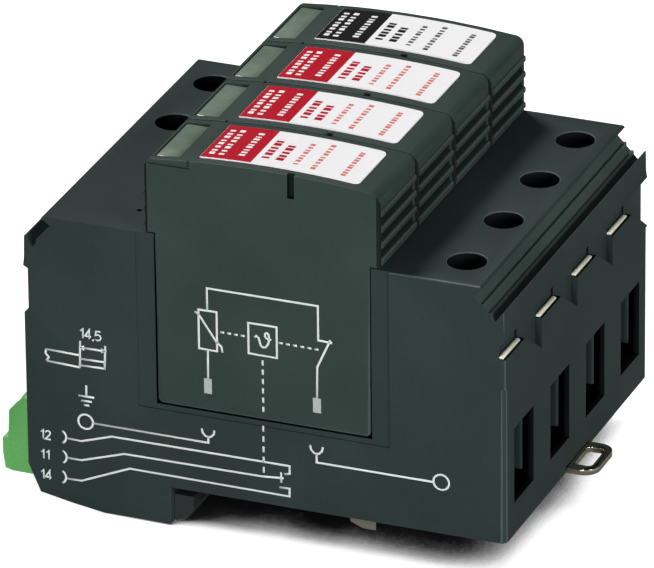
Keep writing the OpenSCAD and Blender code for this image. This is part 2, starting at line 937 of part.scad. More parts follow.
// Plate that closes the plug from below and presses on the signal bar
module plug_base(k) {
    color(dark)
        at_pole(k)
            difference() {
                union() {
                    block([-inner_x + seat_gap, inner_x - seat_gap],
                        [-inner_y + seat_gap, inner_y - seat_gap], [plug_z0, plug_z0 + 1.6]);
                    translate([0, 0, bar_top_z + slide_gap])
                        cylinder(d = 2.4, h = plug_z0 - bar_top_z - slide_gap + cut);
                }
                for (s = [-1, 1])
                    translate([s * blade_x, 0, plug_z0 + 0.8])
                        cube([blade_w + 2 * seat_gap, blade_t + 2 * seat_gap, 2], center = true);
            }
}

// The two contact blades of a plug
module plug_blades(k) {
    color(copper)
        at_pole(k)
            for (s = [-1, 1])
                translate([s * blade_x, 0, (blade_low + blade_top) / 2])
                    cube([blade_w, blade_t, blade_top - blade_low], center = true);
}

// Coated varistor block
module varistor(k) {
    color(red)
        at_pole(k)
            along_y(element_t)
                rounded([-inner_x + 0.6, inner_x - 6], [element_z, element_z + element_h], 2);
}

// Encapsulated spark gap of the last pole, a round chamber on a square foot
module spark_gap() {
    color(dark)
        at_pole(3)
            along_y(element_t) {
                translate([-inner_x + 0.6, element_z])
                    square([gap_d, gap_d / 2]);
                translate([-inner_x + 0.6 + gap_d / 2, element_z + gap_d / 2])
                    circle(d = gap_d, $fn = 48);
            }
}

// Thermal disconnection strip beside the protective element
module disconnect_strip(k) {
    color(copper)
        at_pole(k) {
            block([inner_x - 3, inner_x - 2], [-3, 3], [element_z, element_z + element_h * 0.7]);
            block([inner_x - 5, inner_x - 2], [-3, 3], [element_z, element_z + 1]);
        }
}

// Flag under the window
module indicator_flag(k) {
    color(green)
        at_pole(k)
            block([-head_x + plug_wall + slide_gap, window_x + window_l / 2 + 0.4],
                [-inner_y + slide_gap, inner_y - slide_gap], [flag_z, flag_z + flag_t]);
}

module window_lens(k) {
    color([0.75, 0.8, 0.76])
        at_pole(k)
            block([window_x - window_l / 2, window_x + window_l / 2], [-window_w / 2, window_w / 2],
                [window_z - 1 + 0.02, window_z]);
}

// Label that lies on the arched top
module plug_label(k) {
    color(white)
        at_pole(k)
            along_y(label_w)
                intersection() {
                    difference() {
                        translate([0, top_z - arch_r])
                            circle(r = arch_r + 0.03 + label_t, $fn = 240);
                        translate([0, top_z - arch_r])
                            circle(r = arch_r + 0.03, $fn = 240);
                    }
                    translate([label_x, top_z - 4])
                        square([label_l, 8]);
                }
}

module plug_housing_1() {
    plug_housing(0);
}

module plug_housing_2() {
    plug_housing(1);
}

module plug_housing_3() {
    plug_housing(2);
}

module plug_housing_4() {
    plug_housing(3);
}

module plug_base_1() {
    plug_base(0);
}

module plug_base_2() {
    plug_base(1);
}

module plug_base_3() {
    plug_base(2);
}

module plug_base_4() {
    plug_base(3);
}

module plug_blades_1() {
    plug_blades(0);
}

module plug_blades_2() {
    plug_blades(1);
}

module plug_blades_3() {
    plug_blades(2);
}

module plug_blades_4() {
    plug_blades(3);
}

module varistor_1() {
    varistor(0);
}

module varistor_2() {
    varistor(1);
}

module varistor_3() {
    varistor(2);
}

module disconnect_strip_1() {
    disconnect_strip(0);
}

module disconnect_strip_2() {
    disconnect_strip(1);
}

module disconnect_strip_3() {
    disconnect_strip(2);
}

module disconnect_strip_4() {
    disconnect_strip(3);
}

module indicator_flag_1() {
    indicator_flag(0);
}

module indicator_flag_2() {
    indicator_flag(1);
}

module indicator_flag_3() {
    indicator_flag(2);
}

module indicator_flag_4() {
    indicator_flag(3);
}

module window_lens_1() {
    window_lens(0);
}

module window_lens_2() {
    window_lens(1);
}

module window_lens_3() {
    window_lens(2);
}

module window_lens_4() {
    window_lens(3);
}

module plug_label_1() {
    plug_label(0);
}

module plug_label_2() {
    plug_label(1);
}

module plug_label_3() {
    plug_label(2);
}

module plug_label_4() {
    plug_label(3);
}

base_housing();
foot_plate();
rail_latch();
line_contact_1();
line_contact_2();
line_contact_3();
line_contact_4();
earth_bar();
line_cage_1();
line_cage_2();
line_cage_3();
line_cage_4();
earth_cage_1();
earth_cage_2();
line_screw_1();
line_screw_2();
line_screw_3();
line_screw_4();
earth_screw_1();
earth_screw_2();
signal_header();
signal_switch();
signal_bar();
signal_plug();
signal_screw_1();
signal_screw_2();
signal_screw_3();
plug_housing_1();
plug_housing_2();
plug_housing_3();
plug_housing_4();
plug_base_1();
plug_base_2();
plug_base_3();
plug_base_4();
plug_blades_1();
plug_blades_2();
plug_blades_3();
plug_blades_4();
varistor_1();
varistor_2();
varistor_3();
spark_gap();
disconnect_strip_1();
disconnect_strip_2();
disconnect_strip_3();
disconnect_strip_4();
indicator_flag_1();
indicator_flag_2();
indicator_flag_3();
indicator_flag_4();
window_lens_1();
window_lens_2();
window_lens_3();
window_lens_4();
plug_label_1();
plug_label_2();
plug_label_3();
plug_label_4();
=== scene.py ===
import math

import bmesh
import bpy
from mathutils import Matrix, Vector


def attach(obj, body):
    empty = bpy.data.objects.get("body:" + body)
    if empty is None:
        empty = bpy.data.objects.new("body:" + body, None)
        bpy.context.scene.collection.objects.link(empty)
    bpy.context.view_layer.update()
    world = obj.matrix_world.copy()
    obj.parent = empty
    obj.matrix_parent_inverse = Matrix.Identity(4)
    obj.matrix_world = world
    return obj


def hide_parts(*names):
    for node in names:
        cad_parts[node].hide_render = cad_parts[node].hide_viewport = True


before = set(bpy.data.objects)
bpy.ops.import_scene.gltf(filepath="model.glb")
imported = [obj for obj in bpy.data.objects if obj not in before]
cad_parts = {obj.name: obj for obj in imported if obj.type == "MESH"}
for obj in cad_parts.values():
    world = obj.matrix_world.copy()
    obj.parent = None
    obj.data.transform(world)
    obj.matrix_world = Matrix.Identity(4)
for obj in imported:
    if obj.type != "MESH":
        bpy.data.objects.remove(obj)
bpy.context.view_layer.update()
mm = 0.001
poleY = [-26.7, -8.9, 8.9, 26.7]
print("frame loaded:", len(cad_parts), "nodes")


def near(a, b, gap=0.02):
    return abs(a - b) < gap


def within(value, span):
    return span[0] < value < span[1]


def srgb(r, g, b):
    def one(c):
        c /= 255
        return c / 12.92 if c <= 0.04045 else ((c + 0.055) / 1.055) ** 2.4
    return (one(r), one(g), one(b), 1)


def newMaterial(name):
    mat = bpy.data.materials.new(name)
    mat.use_nodes = True
    nodes = mat.node_tree.nodes
    nodes.clear()
    out = nodes.new("ShaderNodeOutputMaterial")
    bsdf = nodes.new("ShaderNodeBsdfPrincipled")
    mat.node_tree.links.new(bsdf.outputs["BSDF"], out.inputs["Surface"])
    return mat, nodes, mat.node_tree.links, bsdf


def feed(links, socket, value):  # another node's socket is linked, a plain value is set
    if isinstance(value, bpy.types.NodeSocket):
        links.new(value, socket)
    else:
        socket.default_value = value


def noiseNode(nodes, links, vector, scale, detail):
    noise = nodes.new("ShaderNodeTexNoise")
    feed(links, noise.inputs["Vector"], vector)
    feed(links, noise.inputs["Scale"], scale)
    feed(links, noise.inputs["Detail"], detail)
    return noise


def rangeNode(nodes, links, value, given, wanted=(0, 1)):
    span = nodes.new("ShaderNodeMapRange")
    for end, number in zip(("From Min", "From Max", "To Min", "To Max"), given + wanted):
        span.inputs[end].default_value = number
    links.new(value, span.inputs["Value"])
    return span.outputs["Result"]


def mathNode(nodes, links, operation, *values):
    node = nodes.new("ShaderNodeMath")
    node.operation = operation
    node.use_clamp = operation == "ADD"  # sums stop at 1
    for socket, value in zip(node.inputs, values):
        feed(links, socket, value)
    return node.outputs[0]


def mixNode(nodes, links, factor, first, second):
    mix = nodes.new("ShaderNodeMix")
    mix.data_type = "RGBA"
    links.new(factor, mix.inputs["Factor"])
    feed(links, mix.inputs[6], first)
    feed(links, mix.inputs[7], second)
    return mix.outputs[2]


def addTone(nodes, links, bsdf, factor, look, spread):  # colour and roughness vary together
    tone = mixNode(nodes, links, factor, srgb(*look["colour"]), srgb(*look["pale"]))
    links.new(tone, bsdf.inputs["Base Color"])
    rough = rangeNode(nodes, links, factor, (0, 1), (look["rough"] + spread[0], look["rough"] + spread[1]))
    links.new(rough, bsdf.inputs["Roughness"])


def addBump(nodes, links, bsdf, height, strength, depth):
    bump = nodes.new("ShaderNodeBump")
    bump.inputs["Strength"].default_value = strength
    bump.inputs["Distance"].default_value = depth * mm
    links.new(height, bump.inputs["Height"])
    links.new(bump.outputs["Normal"], bsdf.inputs["Normal"])


# fixed values of the three finishes: noise scale and detail, spans, spreads, depths in mm
mould = {"detail": 3, "soft": 0.6, "clouds": (55, 2), "cloudSpan": ((0.3, 0.7), (0, 0.55)),
         "speckSpan": ((0.35, 0.75), (0, 0.45)), "roughSpread": 0.16, "depth": 0.04}
drawn = {"scale": 900, "detail": 3, "rough": (-0.08, 0.12), "bump": 0.15, "depth": 0.02}
coat = {"scale": 1500, "detail": 2, "rough": (-0.05, 0.1), "specular": 0.12}


def grainGroup():  # moulded grain: mottled colour, roughness and height
    group = bpy.data.node_groups.new("mouldGrain", "ShaderNodeTree")
    sockets = {"INPUT": ("Colour", "Pale", "Fine", "Rough"), "OUTPUT": ("Colour", "Rough", "Height")}
    for way, names in sockets.items():
        for name in names:
            kind = "NodeSocketColor" if name in ("Colour", "Pale") else "NodeSocketFloat"
            group.interface.new_socket(name, in_out=way, socket_type=kind)
    nodes, links = group.nodes, group.links
    given, put = nodes.new("NodeGroupInput"), nodes.new("NodeGroupOutput")
    vector = nodes.new("ShaderNodeTexCoord").outputs["Object"]
    fine = noiseNode(nodes, links, vector, given.outputs["Fine"], mould["detail"])
    fine.inputs["Roughness"].default_value = mould["soft"]
    grain = fine.outputs["Fac"]
    broad = noiseNode(nodes, links, vector, *mould["clouds"])
    clouds = rangeNode(nodes, links, broad.outputs["Fac"], *mould["cloudSpan"])
    specks = rangeNode(nodes, links, grain, *mould["speckSpan"])
    mottle = mathNode(nodes, links, "ADD", clouds, specks)
    tint = mixNode(nodes, links, mottle, given.outputs["Colour"], given.outputs["Pale"])
    rough = mathNode(nodes, links, "MULTIPLY_ADD", grain, mould["roughSpread"], given.outputs["Rough"])
    links.new(tint, put.inputs["Colour"])
    links.new(rough, put.inputs["Rough"])
    links.new(grain, put.inputs["Height"])
    return group


mouldGrain = grainGroup()


def plasticMaterial(name, look):
    mat, nodes, links, bsdf = newMaterial(name)
    grain = nodes.new("ShaderNodeGroup")
    grain.node_tree = mouldGrain
    grain.inputs["Colour"].default_value = srgb(*look["colour"])
    grain.inputs["Pale"].default_value = srgb(*look["pale"])
    grain.inputs["Fine"].default_value = look["fine"]
    grain.inputs["Rough"].default_value = look["rough"]
    links.new(grain.outputs["Colour"], bsdf.inputs["Base Color"])
    links.new(grain.outputs["Rough"], bsdf.inputs["Roughness"])
    addBump(nodes, links, bsdf, grain.outputs["Height"], look["bump"], mould["depth"])
    bsdf.inputs["Specular IOR Level"].default_value = look["specular"]
    return mat


def metalMaterial(name, look):  # drawn sheet: streaks along one axis
    mat, nodes, links, bsdf = newMaterial(name)
    stretch = nodes.new("ShaderNodeMapping")
    stretch.inputs["Scale"].default_value = look["streak"]
    links.new(nodes.new("ShaderNodeTexCoord").outputs["Object"], stretch.inputs["Vector"])
    noise = noiseNode(nodes, links, stretch.outputs["Vector"], drawn["scale"], drawn["detail"])
    streak = noise.outputs["Fac"]
    addTone(nodes, links, bsdf, streak, look, drawn["rough"])
    addBump(nodes, links, bsdf, streak, drawn["bump"], drawn["depth"])
    bsdf.inputs["Metallic"].default_value = look["metal"]
    return mat


def inkMaterial(name, look):  # flat print with a slightly uneven coat
    mat, nodes, links, bsdf = newMaterial(name)
    vector = nodes.new("ShaderNodeTexCoord").outputs["Object"]
    noise = noiseNode(nodes, links, vector, coat["scale"], coat["detail"])
    addTone(nodes, links, bsdf, noise.outputs["Fac"], look, coat["rough"])
    bsdf.inputs["Specular IOR Level"].default_value = coat["specular"]
    return mat


housingLook = {"colour": (40, 51, 49), "pale": (50, 62, 60), "fine": 2600, "rough": 0.55, "bump": 0.35,
               "specular": 0.1}
hoodLook = {"colour": (45, 58, 54), "pale": (55, 69, 65), "fine": 2600,
            "rough": 0.52, "bump": 0.3, "specular": 0.12}
# paler edge colour: partly rubbed wear, partly a painted highlight on rounded edges, ridges and the groove
# slope
wornAndHighlightLook = {"colour": (57, 70, 66), "pale": (74, 88, 83), "fine": 1800, "rough": 0.4, "bump": 0.2,
            "specular": 0.25}
# dark painted shade for the grip grooves and the corners beside them
shadeLook = {"colour": (18, 24, 23), "pale": (26, 33, 31), "fine": 2200, "rough": 0.6, "bump": 0.3,
             "specular": 0.08}
# near-black painted shade for the housing's hollows
hollowShadeLook = {"colour": (11, 15, 15), "pale": (17, 22, 22), "fine": 2200, "rough": 0.65, "bump": 0.3,
             "specular": 0.05}
darkLook = {"colour": (30, 34, 34), "pale": (42, 47, 46), "fine": 2200,
            "rough": 0.5, "bump": 0.3, "specular": 0.3}
greenLook = {"colour": (92, 176, 88), "pale": (116, 196, 110), "fine": 2400,
             "rough": 0.38, "bump": 0.2, "specular": 0.4}
whiteLook = {"colour": (214, 214, 208), "pale": (232, 232, 228), "fine": 2400,
             "rough": 0.4, "bump": 0.2, "specular": 0.4}
coatLook = {"colour": (150, 62, 40), "pale": (176, 84, 58), "fine": 1400,
            "rough": 0.35, "bump": 0.5, "specular": 0.4}
caseLook = {"colour": (44, 44, 46), "pale": (62, 62, 64), "fine": 1400,
            "rough": 0.5, "bump": 0.4, "specular": 0.3}
flagLook = {"colour": (70, 150, 84), "pale": (92, 172, 104), "fine": 2200,
            "rough": 0.45, "bump": 0.2, "specular": 0.35}
lensLook = {"colour": (94, 110, 96), "pale": (124, 140, 124), "fine": 260,
            "rough": 0.2, "bump": 0.05, "specular": 0.5}
steelLook = {"colour": (150, 150, 144), "pale": (214, 212, 202), "streak": (0.06, 1, 1),
             "rough": 0.28, "metal": 1}
sheetLook = {"colour": (228, 220, 192), "pale": (255, 250, 232), "streak": (0.06, 1, 1),
             "rough": 0.14, "metal": 1}
plateLook = {"colour": (244, 242, 214), "pale": (254, 253, 236), "streak": (1, 0.06, 1),
             "rough": 0.4, "metal": 0}
copperLook = {"colour": (196, 150, 104), "pale": (226, 184, 138), "streak": (0.08, 1, 1),
              "rough": 0.3, "metal": 1}
paperLook = {"colour": (240, 238, 240), "pale": (250, 249, 250), "rough": 0.4}
redLook = {"colour": (176, 2, 28), "pale": (192, 8, 38), "rough": 0.4}
blackLook = {"colour": (9, 9, 10), "pale": (18, 18, 19), "rough": 0.4}
printLook = {"colour": (210, 218, 215), "pale": (228, 234, 231), "rough": 0.5}
fieldLook = {"colour": (160, 169, 167), "pale": (182, 190, 187), "rough": 0.5}
fadedLook = {"colour": (206, 92, 84), "pale": (226, 136, 122), "rough": 0.45}
greyLook = {"colour": (62, 62, 64), "pale": (96, 96, 98), "rough": 0.45}

housingPlastic = plasticMaterial("housingPlastic", housingLook)
hoodPlastic = plasticMaterial("hoodPlastic", hoodLook)
wornEdgeAndHighlight = plasticMaterial("wornEdgeAndHighlight", wornAndHighlightLook)
shadePlastic = plasticMaterial("shadePlastic", shadeLook)
hollowShadePlastic = plasticMaterial("hollowShadePlastic", hollowShadeLook)
darkPlastic = plasticMaterial("darkPlastic", darkLook)
greenPlastic = plasticMaterial("greenPlastic", greenLook)
whitePlastic = plasticMaterial("whitePlastic", whiteLook)
varistorCoat = plasticMaterial("varistorCoat", coatLook)
gapCase = plasticMaterial("gapCase", caseLook)
flagPlastic = plasticMaterial("flagPlastic", flagLook)
lensPlastic = plasticMaterial("lensPlastic", lensLook)
zincSteel = metalMaterial("zincSteel", steelLook)
sheetSteel = metalMaterial("sheetSteel", sheetLook)
tinPlate = metalMaterial("tinPlate", plateLook)
barCopper = metalMaterial("barCopper", copperLook)
labelPaper = inkMaterial("labelPaper", paperLook)
redInk = inkMaterial("redInk", redLook)
blackInk = inkMaterial("blackInk", blackLook)
printInk = inkMaterial("printInk", printLook)
fieldInk = inkMaterial("fieldInk", fieldLook)
fadedInk = inkMaterial("fadedInk", fadedLook)
greyInk = inkMaterial("greyInk", greyLook)
print("materials made")


# CAD nodes that stay get a finish only
def finishFor(node):
    if "cage" in node or "screw" in node:
        return zincSteel
    if node == "earth_bar" or "blades" in node or "strip" in node:
        return barCopper
    if node.startswith("varistor"):
        return varistorCoat
    if node == "spark_gap":
        return gapCase
    if "flag" in node:
        return flagPlastic
    if node == "signal_bar":
        return whitePlastic
    if node == "signal_header":
        return greenPlastic
    return darkPlastic


for node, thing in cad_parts.items():
    thing.data.materials.clear()
    thing.data.materials.append(finishFor(node))
print("finishes on the carried nodes")


def meshObject(name, bm, materials, smoothAngle=None):
    mesh = bpy.data.meshes.new(name)
    if smoothAngle:
        for face in bm.faces:
            face.smooth = True
        for edge in bm.edges:
            sharp = len(edge.link_faces) == 2 and edge.calc_face_angle(0) > math.radians(smoothAngle)
            edge.smooth = not sharp
    bm.to_mesh(mesh)
    bm.free()
    for mat in materials:
        mesh.materials.append(mat)
    thing = bpy.data.objects.new(name, mesh)
    bpy.context.scene.collection.objects.link(thing)
    return thing


soft = {"weld": 0.002, "flat": 1, "corner": 28, "sliver": 0.0005, "smooth": 40}  # mm and degrees


def roundEdges(bm, edges, width, segments):
    return bmesh.ops.bevel(bm, geom=edges, offset=width * mm, offset_type="OFFSET", segments=segments,
                           profile=0.5, affect="EDGES", clamp_overlap=True, material=-1)


def softCopy(name, node, materials, groups, paintedShade=None, paintedHighlight=None):  # a node's shape, its edges rounded
    bm = bmesh.new()
    bm.from_mesh(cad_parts[node].data)
    bmesh.ops.remove_doubles(bm, verts=bm.verts[:], dist=soft["weld"] * mm)
    bmesh.ops.dissolve_limit(bm, angle_limit=math.radians(soft["flat"]), use_dissolve_boundaries=False,
                             verts=bm.verts[:], edges=bm.edges[:])
    # faces picked as painted shade take the dark third material
    for face in bm.faces:
        face.material_index = 2 if paintedShade and paintedShade(face) else 0
        # faces picked for a painted highlight take the paler second material
        if paintedHighlight and paintedHighlight(face):
            face.material_index = 1
    for edge, keep in groups:
        picked = []
        for e in bm.edges:
            folded = len(e.link_faces) == 2 and e.calc_face_angle(0) > math.radians(soft["corner"])
            if folded and keep(e):
                picked.append(e)
        cut = roundEdges(bm, picked, edge["width"], edge["segments"])
        for face in cut["faces"]:
            face.material_index = 1  # rounded edges are paler: partly rubbed wear, partly a painted highlight along the edges
    bmesh.ops.dissolve_degenerate(bm, dist=soft["sliver"] * mm, edges=bm.edges[:])
    bmesh.ops.triangulate(bm, faces=[f for f in bm.faces if len(f.verts) > 4])
    return meshObject(name, bm, materials, soft["smooth"])


def middle(e):
    return (e.verts[0].co + e.verts[1].co) / 2 / mm


def longer(e, length):
    return e.calc_length() > length * mm


def faceMiddle(face):
    return face.calc_center_median() / mm


housing = {"width": 0.25, "segments": 2, "shortest": 1.2, "shelf": 48.6, "side": 35.6, "wellX": 34.6,
           "wellR": 4.4, "wellTop": 48.4, "endX": 43.5, "endY": 34.5, "upright": 3, "low": 0.5}
rimEdge = {"width": 0.3, "segments": 3}
chamber = {"x": (21.5, 44.3), "half": 7.3, "z": (2.4, 46.9)}
pocket = {"x": 43, "across": (-4.75, -1.3), "z": 11}  # the lit part of a wire entry
entry = {"x": (43, 44.99), "half": 4.9, "z": (6, 20.6)}
bay = {"x": 20.3, "y": 35.2, "z": (15.8, 48.5)}
markers = {"x": (39, 43.6), "z": (42, 46.9), "lean": 0.6, "under": -0.1}
square = 0.9  # a face's normal along an axis


def nearestPole(y):
    return min(poleY, key=lambda p: abs(p - y))


def onWell(m):
    return math.hypot(abs(m.x) - housing["wellX"], m.y - nearestPole(m.y)) < housing["wellR"]


def wellRim(e):
    m = middle(e)
    return near(m.z, housing["shelf"]) and onWell(m)


def shelfEdge(e):
    m = middle(e)
    onSide = m.x > 0 and near(abs(m.y), housing["side"])
    return onSide and near(m.z, housing["shelf"]) and longer(e, housing["shortest"])


def endEdge(e):
    m = middle(e)
    upright = abs(e.verts[0].co.z - e.verts[1].co.z) > housing["upright"] * mm
    return upright and abs(m.x) > housing["endX"] and abs(m.y) > housing["endY"]


def lowEdge(e):
    m = middle(e)
    return near(abs(m.y), housing["side"]) and m.z < housing["low"] and longer(e, housing["shortest"])


def housingShadeMask(face):  # painted shade: wells, clamp chambers, wire entries and the plug bay are coloured near black
    m = faceMiddle(face)
    reach = abs(m.x)
    across = m.y - nearestPole(m.y)
    forward = face.normal.y < -square
    if onWell(m) and m.z < housing["wellTop"]:
        return True
    if within(reach, chamber["x"]) and abs(across) < chamber["half"] and within(m.z, chamber["z"]):
        turned = forward or face.normal.x > square
        lit = reach > pocket["x"] and within(across, pocket["across"]) and m.z > pocket["z"]
        return not (turned and lit)
    inEntry = within(reach, entry["x"]) and abs(across) < entry["half"] and within(m.z, entry["z"])
    sideways = abs(face.normal.x) < 0.5
    if inEntry and sideways:
        return not (forward and across < 0)
    return reach < bay["x"] and abs(m.y) < bay["y"] and within(m.z, bay["z"])


def slopeHighlight(face):  # painted highlight: the toothed slope of the line side's groove, shaded by its teeth and rim, gets the paler edge colour
    m = faceMiddle(face)
    outward = face.normal.x > markers["lean"] or face.normal.z > markers["lean"]
    if face.normal.z < markers["under"]:
        return False
    return outward and within(m.x, markers["x"]) and within(m.z, markers["z"])


# rounded edges of the well rims, the right shelf's near edge, the end corners and the bottom edges get the
# paler colour, partly as a painted highlight
housingGroups = [(rimEdge, wellRim), (housing, shelfEdge), (housing, endEdge), (housing, lowEdge)]
base = softCopy("housingShell", "base_housing", [housingPlastic, wornEdgeAndHighlight, hollowShadePlastic], housingGroups,
                housingShadeMask, slopeHighlight)
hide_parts("base_housing")
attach(base, "base")
print("housing shell made")

plug = {"width": 0.35, "segments": 3, "shortest": 1.0, "arch": 190, "top": 64.0, "side": 8.75, "topX": 21,
        "bodyX": 20, "bodyZ": 48.8}
ridge = {"width": 0.34, "segments": 3, "out": 22.3, "long": 3, "top": 61}
grip = {"x": 21.45, "half": 8.1, "z": (49, 60)}
gripCorner = {"x": 21.15, "across": (8.06, 8.74), "z": 60}
notch = {"x": (4.8, 6.3), "across": (7.8, 8.74), "z": 59}


def archZ(x):
    return plug["top"] - (plug["arch"] - math.sqrt(plug["arch"] ** 2 - x * x))


def hoodTop(centre):
    def keep(e):
        m = middle(e)
        onSide = near(abs(m.y - centre), plug["side"]) and abs(m.x) < plug["topX"]
        return onSide and near(m.z, archZ(m.x), 0.1) and longer(e, plug["shortest"])
    return keep


def hoodBody(centre):
    def keep(e):
        m = middle(e)
        onSide = near(abs(m.y - centre), plug["side"])
        return onSide and abs(m.x) < plug["bodyX"] and m.z < plug["bodyZ"]
    return keep


# the ridges' long outer edges are rounded and get the paler colour, a painted highlight on the grip
def hoodRidge(e):
    m = middle(e)
    along = abs(e.verts[0].co.y - e.verts[1].co.y) > ridge["long"] * mm
    return along and near(abs(m.x), ridge["out"], 0.03) and m.z < ridge["top"]


def hoodShadeMask(centre):  # painted shade: the grip grooves' ground, the upright corners beside them, the near side's notch
    def dark(face):
        m = faceMiddle(face)
        across = abs(m.y - centre)
        inGrip = near(abs(m.x), grip["x"], 0.05) and across < grip["half"] and within(m.z, grip["z"])
        upright = abs(m.x) > gripCorner["x"] and within(across, gripCorner["across"])
        inNotch = within(m.x, notch["x"]) and within(across, notch["across"]) and m.z > notch["z"]
        return inGrip or upright and m.z < gripCorner["z"] or centre == poleY[0] and inNotch
    return dark


for k in range(4):
    groups = [(plug, hoodTop(poleY[k])), (plug, hoodBody(poleY[k])), (ridge, hoodRidge)]
    hood = softCopy("plugHood%d" % (k + 1), "plug_housing_%d" % (k + 1),
                    [hoodPlastic, wornEdgeAndHighlight, shadePlastic], groups, hoodShadeMask(poleY[k]))
    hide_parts("plug_housing_%d" % (k + 1))
    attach(hood, "plug_%d" % (k + 1))
print("plug hoods made")

window = {"x": (-20.2, -15.8), "halfWidth": 7.1, "z": (61.92, 62.9), "corner": 0.35, "segments": 3,
          "smooth": 35}


def windowPiece(k):
    bm = bmesh.new()
    size = (window["x"][1] - window["x"][0], 2 * window["halfWidth"], window["z"][1] - window["z"][0])
    scale = Matrix.Diagonal((*[s * mm for s in size], 1))
    place = Vector((sum(window["x"]) / 2, poleY[k], sum(window["z"]) / 2)) * mm
    bmesh.ops.create_cube(bm, size=1, matrix=Matrix.Translation(place) @ scale)
    roundEdges(bm, bm.edges[:], window["corner"], window["segments"])
    return meshObject("statusWindow%d" % (k + 1), bm, [lensPlastic], window["smooth"])


for k in range(4):
    lens = windowPiece(k)
    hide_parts("window_lens_%d" % (k + 1))
    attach(lens, "plug_%d" % (k + 1))
print("status windows made")


label = {"x": (-12.0, 17.4), "halfWidth": 6.9, "lift": 0.03, "thick": 0.25, "ink": 0.02, "field": -2.6,
         "corner": 1.1, "segments": 4, "rim": 0.05, "steps": 20, "fieldSteps": 6, "blockSteps": 2}
block = {"uneven": 0.16, "beat": 2.4}
fieldRows = [(-11.0, -10.0, -5.4, 5.8, 8, 0.52), (-9.2, -8.2, -5.4, 5.8, 8, 0.5),
             (-5.7, -4.6, -4.8, 5.4, 9, 0.5)]  # x0, x1, y0, y1, blocks, fill
printRows = [(-1.6, -0.2, -4.4, 3.8, 6, 0.64), (1.0, 2.4, -4.4, 2.7, 5, 0.64),
             (4.4, 5.3, -4.8, 4.4, 8, 0.55), (7.8, 8.7, -5.4, 5.4, 9, 0.55),
             (13.4, 14.3, -5.4, 5.0, 10, 0.6)]


def archedPatch(bm, x, y, low, thick, material, steps, rounded=()):  # follows the plug's arched top
    touch = 0.001
    centre = Vector((sum(x) / 2, sum(y) / 2, 0)) * mm
    spread = Matrix.Diagonal(((x[1] - x[0]) * mm, (y[1] - y[0]) * mm, 1, 1))
    made = bmesh.ops.create_grid(bm, x_segments=steps, y_segments=1, size=0.5,
                                 matrix=Matrix.Translation(centre) @ spread)
    for v in made["verts"]:
        v.co.z = (archZ(v.co.x / mm) + low) * mm
    faces = list({f for v in made["verts"] for f in v.link_faces})
    grown = bmesh.ops.extrude_face_region(bm, geom=faces)
    up = [g for g in grown["geom"] if isinstance(g, bmesh.types.BMVert)]
    bmesh.ops.translate(bm, verts=up, vec=(0, 0, thick * mm))
    for f in {f for v in made["verts"] + up for f in v.link_faces}:
        f.material_index = material
    corners = []
    for e in {e for v in up for e in v.link_edges}:
        a, b = e.verts[0].co / mm, e.verts[1].co / mm
        upright = (a.xy - b.xy).length < touch
        atSide = near(a.y, y[0], touch) or near(a.y, y[1], touch)
        if upright and atSide and any(near(a.x, r, touch) for r in rounded):
            corners.append(e)
    if corners:
        roundEdges(bm, corners, label["corner"], label["segments"])


def blockRow(bm, row, centre, low, material):  # plain blocks in place of words
    x0, x1, y0, y1, blocks, fill = row
    pitch = (y1 - y0) / blocks
    for i in range(blocks):
        wide = pitch * (fill + block["uneven"] * math.sin(block["beat"] * i + x0))
        start = centre + y0 + i * pitch
        archedPatch(bm, (x0, x1), (start, start + wide), low, label["ink"], material, label["blockSteps"])


def labelPiece(k):
    bm = bmesh.new()
    y, side, rim = poleY[k], label["halfWidth"], label["rim"]
    top = label["lift"] + label["thick"]
    field = (label["x"][0] + rim, label["field"])
    archedPatch(bm, label["x"], (y - side, y + side), label["lift"], label["thick"], 0, label["steps"],
                label["x"][1:])
    archedPatch(bm, field, (y - side + rim, y + side - rim), top, label["ink"], 1, label["fieldSteps"])
    for row in fieldRows:
        blockRow(bm, row, y, top + label["ink"], 0)
    for n, row in enumerate(printRows):
        blockRow(bm, row, y, top, 1 if n < 2 else 2)
    bmesh.ops.recalc_face_normals(bm, faces=bm.faces[:])
    inks = [labelPaper, blackInk, greyInk] if k == 3 else [labelPaper, redInk, fadedInk]
    return meshObject("plugLabel%d" % (k + 1), bm, inks)


for k in range(4):
    sheet = labelPiece(k)
    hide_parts("plug_label_%d" % (k + 1))
    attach(sheet, "plug_%d" % (k + 1))
print("labels made")


latch = {"width": 0.22, "segments": 2, "eye": 40}
latchPiece = softCopy("latchSheet", "rail_latch", [sheetSteel, sheetSteel],
                      [(latch, lambda e: middle(e).x > latch["eye"])])
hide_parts("rail_latch")
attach(latchPiece, "latch")

connector = {"width": 0.3, "segments": 2, "shortest": 1.0, "out": -45}


def connectorEdge(e):
    return longer(e, connector["shortest"]) and middle(e).x < connector["out"]


connectorPiece = softCopy("signalPlug", "signal_plug", [greenPlastic, greenPlastic],
                          [(connector, connectorEdge)])
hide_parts("signal_plug")
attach(connectorPiece, "signal_connector")

bridge = {"width": 0.3, "segments": 2, "top": 35.2}
for k in range(4):
    strip = softCopy("bridgeStrip%d" % (k + 1), "line_contact_%d" % (k + 1), [tinPlate, tinPlate],
                     [(bridge, lambda e: middle(e).z > bridge["top"])])
    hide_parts("line_contact_%d" % (k + 1))
    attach(strip, "base")
print("latch, connector and bridge strips made")

